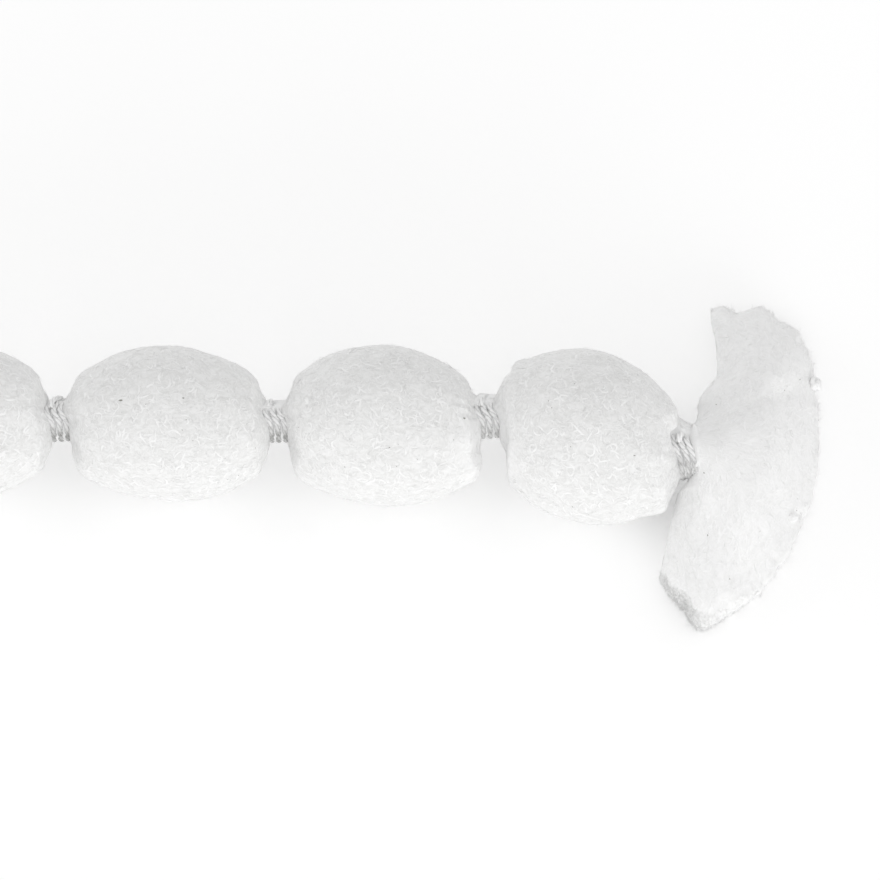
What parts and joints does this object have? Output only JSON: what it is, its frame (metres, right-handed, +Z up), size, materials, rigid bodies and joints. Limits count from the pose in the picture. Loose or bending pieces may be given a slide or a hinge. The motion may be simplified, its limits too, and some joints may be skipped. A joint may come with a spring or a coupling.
{
  "type": "length of tied pompom trim",
  "caption": "Soft white fibre rope tied at intervals with twisted thread into egg-shaped pompoms, its cut end splayed into a ragged fan; sewn along an edge as decoration.",
  "frame": {"origin": "centre of the bounding box in plan, on the surface that the trim lies on", "axes": "+X runs along the trim from its trimmed stub to its splayed cut end, +Z is up"},
  "size_m": [0.1732, 0.0604, 0.0279],
  "materials": {
    "wadding": "matt, softly fibrous",
    "thread": "slightly glossy twisted plies"
  },
  "bodies": {
    "root": {"fibre_rope": "wadding", "thread_tie_1": "thread", "thread_tie_2": "thread", "thread_tie_3": "thread", "thread_tie_4": "thread", "thread_tie_5": "thread"}
  },
  "joints": []
}
